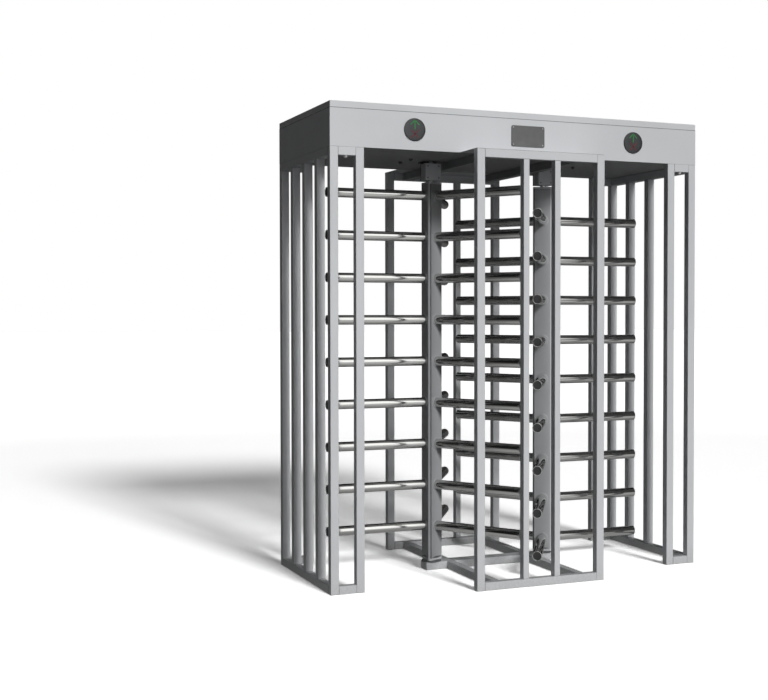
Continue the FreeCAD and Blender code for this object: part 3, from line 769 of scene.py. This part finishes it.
for side in ("left", "right"):
    column = roundedColumn(side)
    # painted shade on the flats and in the seams, a painted highlight on the corner strips
    dress(column, rotorShadePaint, side + "_rotor", [side + "_column"])
    paintFaces(column, stripHighlightPaint, onCorner(side, rotorColumn["strip"]))
    paintFaces(column, seamShadePaint, onCorner(side, rotorColumn["seam"]))


# rotor arms: polished tube with a plug in its end and a collar at its root

rotorArm = {
    "radius": 0.02415,
    "wall": 0.0032,
    "sides": 40,
    "rimEase": 0.0007,
    "rimSteps": 2,
    "flat": 0.0351,         # from the rotor's axis to the column's flat side
    "reach": 0.560,
    "levels": 9,
    "pitch": 0.211,
    "top": 1.915,
}
armPlug = {
    "deep": 0.0015,         # how far the plug stands back from the tube's end
    "behind": 0.004,        # how far the tube's bore goes on behind the plug's face
    "length": 0.012,
    "gap": 0.0001,
    "rings": ((0.0012, 0.0004), (0.0008, -0.0006), (0.0060, 0.0005), (0.0060, 0.0002)),
}
armCollar = {
    "radius": 0.0310,
    "thick": 0.0024,
    "sides": 48,
    "ease": 0.0009,
    "easeSteps": 3,
    "seam": 0.0022,         # from the tube to the small step round it
    "step": (0.0006, 0.0012),
}


def makeArmTube():
    look = rotorArm
    tube = lyingRod("armTube", look["sides"], look["radius"], look["flat"], look["reach"])
    pickFaces(tube, looking(xAxis))
    insetPicked((look["wall"], 0))
    extrudePicked(x=-armPlug["deep"] - armPlug["behind"])
    atEnd = lyingAt(xAxis, look["reach"])
    pickEdges(tube, lambda a, b: atEnd(a, b) and abs(a.length - b.length) < nearly)     # both round edges
    bevelPicked(look["rimEase"], look["rimSteps"])
    return tube


def makeArmPlug():
    # shallow domed plug with a raised edge, pressed into the tube's end
    inner = rotorArm["radius"] - rotorArm["wall"]
    front = rotorArm["reach"] - armPlug["deep"]
    plug = lyingRod("armPlug", rotorArm["sides"], inner - armPlug["gap"], front - armPlug["length"], front)
    pickFaces(plug, looking(xAxis))
    insetPicked(*armPlug["rings"])
    leaveEdit()
    return plug


def makeArmCollar():
    look = armCollar
    face = rotorArm["flat"] + look["thick"]
    collar = lyingRod("armCollar", look["sides"], look["radius"], rotorArm["flat"], face)
    pickEdges(collar, lyingAt(xAxis, face))
    bevelPicked(look["ease"], look["easeSteps"])
    pickFaces(collar, looking(xAxis))
    insetPicked((look["radius"] - look["ease"] - rotorArm["radius"] - look["seam"], 0), look["step"])
    leaveEdit()
    return collar


def armPlaces(side):
    look = rotors[side]
    places = []
    for level in range(rotorArm["levels"]):
        height = rotorArm["top"] - look["drop"] - level * rotorArm["pitch"]
        for wing in wings:
            turn = Matrix.Rotation(radians(look["turn"] + wing), 4, "Z")
            places.append(Matrix.Translation((look["axisX"], 0, height)) @ turn)
    return places


for side in ("left", "right"):
    rotor = side + "_rotor"
    tubes = joinAs(side + "Arms", copyTo(makeArmTube(), armPlaces(side)))
    smooth(tubes)
    dress(tubes, polishedSteel, rotor, [side + "_arms"])
    plugs = joinAs(side + "EndPlugs", copyTo(makeArmPlug(), armPlaces(side)))
    smooth(plugs)
    dress(plugs, blackMoulding, rotor, [side + "_end_plugs"])
    collars = joinAs(side + "ArmCollars", copyTo(makeArmCollar(), armPlaces(side)))
    smooth(collars, weighted=True)
    # painted shade: the collars take the rotor's darker coat
    dress(collars, rotorShadePaint, rotor)
print("rotors made")


# fasteners, standing on z = 0 and looking up, with sizes as shares of their radius and height

domeHead = {
    "sides": 24,
    "edge": 0.35,
    "rings": ((0.14, 0.30), (0.18, 0.20), (0.20, 0.13)),
    "socketEdge": 0.06,
    "socketDeep": 0.5,
}
hexHead = {
    "washerSides": 28, "washerWide": 1.45, "washerHigh": 0.22,
    "headLow": 0.20, "ease": 0.10, "easeSteps": 2,
}


def domeBolt(radius, height):
    # button head with a socket
    look = domeHead
    bolt = standingRod("domeBolt", look["sides"], radius, 0, height * look["edge"])
    pickFaces(bolt, looking(zAxis))
    insetPicked(*[(radius * inwards, height * rise) for inwards, rise in look["rings"]],
                (radius * look["socketEdge"], 0))
    extrudePicked(z=-height * look["socketDeep"])
    leaveEdit()
    return bolt


def hexBolt(radius, height):
    # hexagon head on a washer
    look = hexHead
    washer = standingRod("washer", look["washerSides"], radius * look["washerWide"],
                         0, height * look["washerHigh"])
    head = standingRod("hexHead", 6, radius, height * look["headLow"], height)
    pickEdges(head, lyingAt(zAxis, height))
    bevelPicked(radius * look["ease"], look["easeSteps"])
    return joinAs("hexBolt", [washer, head])


def standing(points, facing):
    # facing is the way the bolt's head looks
    turn = Vector((0, 0, 1)).rotation_difference(Vector(facing)).to_matrix().to_4x4()
    return [Matrix.Translation(point) @ turn for point in points]


# covers of the bearing housings: plates that look to the front, with a screw in each corner

housingCover = {
    "corner": 0.0040, "cornerSteps": 4, "ease": 0.0008, "easeSteps": 2,
    "screwInset": 0.0135, "screwRadius": 0.0040, "screwHeight": 0.0024, "screwSunk": 0.0,
}


def facePlate(name, low, high, look):
    plate = boxBetween(name, low, high)
    pickEdges(plate, runningAlong(yAxis))
    bevelPicked(look["corner"], look["cornerSteps"])
    pickEdges(plate, lyingAt(yAxis, low.y))
    bevelPicked(look["ease"], look["easeSteps"])
    return plate


def cornerScrews(name, boxes, look):
    inset = look["screwInset"]
    points = [(x, low.y + look["screwSunk"], z) for low, high in boxes
              for x in (low.x + inset, high.x - inset) for z in (low.z + inset, high.z - inset)]
    screw = domeBolt(look["screwRadius"], look["screwHeight"])
    screws = joinAs(name, copyTo(screw, standing(points, (0, -1, 0))))
    smooth(screws)
    return screws


boxes = memberBoxes("housing_covers")
covers = joinAs("housingCovers", [facePlate("cover", low, high, housingCover) for low, high in boxes])
smooth(covers, angle=40, weighted=True)
dress(covers, coatPaint, "frame", ["housing_covers"])
# painted shade: the cover screws take the darker coat
dress(cornerScrews("housingCoverScrews", boxes, housingCover), paintedShadePaint, "frame")
print("housing covers made")


# bolts under the return rails and under the header, four of each

railBolt = {"x": 0.9165, "y": 0.400, "z": 2.050, "radius": 0.0115, "height": 0.0110}
floorBolt = {"x": 0.461, "y": 0.074, "z": 2.090, "radius": 0.0080, "height": 0.0110}


def fourUnder(name, makeBolt, look):
    points = [(sx * look["x"], sy * look["y"], look["z"]) for sx in (-1, 1) for sy in (-1, 1)]
    return joinAs(name, copyTo(makeBolt(look["radius"], look["height"]), standing(points, (0, 0, -1))))


bolts = fourUnder("returnRailBolts", domeBolt, railBolt)
smooth(bolts)
dress(bolts, fastenerSteel, "frame")
bolts = fourUnder("headerFloorBolts", hexBolt, floorBolt)
smooth(bolts, angle=30)
# painted shade: the bolts under the header take the darkest coat
dress(bolts, seamShadePaint, "frame")
print("header bolts made")


# lower pivots: a flange with a turned edge and four screws, and the pin on it

lowerPivot = {
    "sides": 72,
    "flangeThick": 0.007,
    "ease": 0.0015,
    "easeSteps": 3,
    "pinRadius": 0.015,
    "screwCircle": 0.0430, "screwRadius": 0.0052, "screwHeight": 0.0016, "screwSunk": 0.0002,
    "screwTurns": (45, 135, 225, 315),
}


def makePivot(low, high):
    look = lowerPivot
    centre, radius = (low + high) / 2, (high.x - low.x) / 2
    top = low.z + look["flangeThick"]
    flange = standingRod("flange", look["sides"], radius, low.z, top, centre.x, centre.y)
    pickEdges(flange, lyingAt(zAxis, top))
    bevelPicked(look["ease"], look["easeSteps"])
    pickFaces(flange, looking(zAxis))
    insetPicked((radius - look["ease"] - look["pinRadius"], 0))
    extrudePicked(z=high.z - top)
    leaveEdit()
    return flange


boxes = memberBoxes("lower_pivots")
pivots = joinAs("lowerPivots", [makePivot(low, high) for low, high in boxes])
smooth(pivots)
# painted shade: the pivots' flanges take a dark copy of the coat
dress(pivots, pivotShadePaint, "frame", ["lower_pivots"])
points = []
for low, high in boxes:
    centre = (low + high) / 2
    for turn in lowerPivot["screwTurns"]:
        arm = Matrix.Rotation(radians(turn), 4, "Z") @ Vector((lowerPivot["screwCircle"], 0, 0))
        points.append((centre.x + arm.x, centre.y + arm.y,
                       low.z + lowerPivot["flangeThick"] - lowerPivot["screwSunk"]))
screw = domeBolt(lowerPivot["screwRadius"], lowerPivot["screwHeight"])
screws = joinAs("pivotScrews", copyTo(screw, standing(points, (0, 0, 1))))
smooth(screws)
dress(screws, fastenerSteel, "frame")
print("lower pivots made")


# lamps: a rim, a smoked lens and the two signs on it

signLamp = {
    "sides": 72,
    "rim": 0.0028,
    "rimEase": 0.0009,
    "rimSteps": 3,
    "rimFloor": 0.001,      # how far the rim's inside goes on behind the lens's edge
    "sunk": 0.0016,
    "lensGap": 0.0002,
    "lensBack": 0.002,      # from the back of the lamp to the back of the lens
    "dome": ((0.003, 0.0004), (0.012, 0.0003), (0.014, 0.0001)),
    "stroke": 0.0047,
    "thick": 0.0006,
    "raised": 0.0006,       # from the lens's edge to the back of the signs
    "strokeEase": 0.0002,
    "arrowTip": 0.0450, "arrowFoot": 0.0020, "barb": 0.0310,
    "crossAt": -0.0200, "crossArm": 0.0560,
}


def lampRim(radius, depth):
    look = signLamp
    rim = standingRod("lampRim", look["sides"], radius, 0, depth)
    pickFaces(rim, looking(zAxis))
    insetPicked((look["rim"], 0))
    extrudePicked(z=-look["sunk"] - look["rimFloor"])
    atFront = lyingAt(zAxis, depth)
    pickEdges(rim, lambda a, b: atFront(a, b) and abs(a.length - b.length) < nearly)    # both round edges
    bevelPicked(look["rimEase"], look["rimSteps"])
    return rim


def lampLens(radius, depth):
    look = signLamp
    lens = standingRod("lampLens", look["sides"], radius - look["rim"] - look["lensGap"],
                       look["lensBack"], depth - look["sunk"])
    pickFaces(lens, looking(zAxis))
    insetPicked(*look["dome"])
    leaveEdit()
    return lens


def stroke(length, x, y, level, turn):
    # one flat bar of a sign, its upper edges eased
    look = signLamp
    bpy.ops.mesh.primitive_cube_add(size=1, location=(x, y, level), rotation=(0, 0, radians(turn)),
                                    scale=(look["stroke"], length, look["thick"]))
    bar = settle("stroke")
    top = level + look["thick"] / 2
    pickEdges(bar, lyingAt(zAxis, top))
    bevelPicked(look["strokeEase"])
    return bar


def arrowSign(level):
    look = signLamp
    tip, foot, barb = look["arrowTip"], look["arrowFoot"], look["barb"]
    reach = barb / 2 * cos(radians(45))
    return joinAs("arrowSign", [stroke(tip - foot, 0, (tip + foot) / 2, level, 0),
                                stroke(barb, -reach, tip - reach, level, -45),
                                stroke(barb, reach, tip - reach, level, 45)])


def crossSign(level):
    look = signLamp
    bars = [stroke(look["crossArm"], 0, look["crossAt"], level, turn) for turn in (45, -45)]
    return joinAs("crossSign", bars)


for end, turn in (("front", 0), ("rear", pi)):
    nodeName = end + "_lamp_lenses"
    boxes = memberBoxes(nodeName)
    low, high = boxes[0]
    radius, depth = (high.x - low.x) / 2, high.y - low.y
    outwards = Euler((pi / 2, 0, turn)).to_matrix().to_4x4()
    places = []
    for low, high in boxes:
        back = high.y if end == "front" else low.y
        places.append(Matrix.Translation(((low.x + high.x) / 2, back, (low.z + high.z) / 2)) @ outwards)
    signLevel = depth - signLamp["sunk"] + signLamp["raised"] + signLamp["thick"] / 2
    rims = joinAs(end + "LampRims", copyTo(lampRim(radius, depth), places))
    smooth(rims)
    dress(rims, blackMoulding, "frame")
    lenses = joinAs(end + "LampLenses", copyTo(lampLens(radius, depth), places))
    smooth(lenses)
    dress(lenses, lensGlass, "frame", [nodeName])
    dress(joinAs(end + "LampArrows", copyTo(arrowSign(signLevel), places)), arrowGreen, "frame")
    dress(joinAs(end + "LampCrosses", copyTo(crossSign(signLevel), places)), crossRed, "frame")
print("lamps made")


# nameplate: a bare plate made like the covers

namePlate = {
    "corner": 0.0080, "cornerSteps": 8, "ease": 0.0010, "easeSteps": 3,
    "screwInset": 0.0095, "screwRadius": 0.0033, "screwHeight": 0.0016, "screwSunk": 0.0008,
}
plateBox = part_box("nameplate")
plate = facePlate("namePlate", *plateBox, namePlate)
smooth(plate, angle=40, weighted=True)
dress(plate, plateGrey, "frame", ["nameplate"])
dress(cornerScrews("namePlateScrews", [plateBox], namePlate), fastenerSteel, "frame")
print("nameplate made")


# finishes of the CAD nodes

finishes = {
    "powder_coat": coatPaint,
    "arm_steel": polishedSteel,
    "dark_steel": darkCoat,
    "machined_steel": turnedSteel,
    "zinc_plate": zincSheet,
    "lamp_lens": lensGlass,
    "black_plastic": blackMoulding,
    "name_panel": plateGrey,
}
slotOf = {row["node"]: row["material_slot"] for row in frame["record"]["subparts"]}
for nodeName, node in frame["nodes"].items():
    node.data.materials.clear()
    # painted shade: the header's floor takes the darker coat
    node.data.materials.append(paintedShadePaint if nodeName == "header_floor" else finishes[slotOf[nodeName]])
print("finishes given to", len(frame["nodes"]), "nodes")
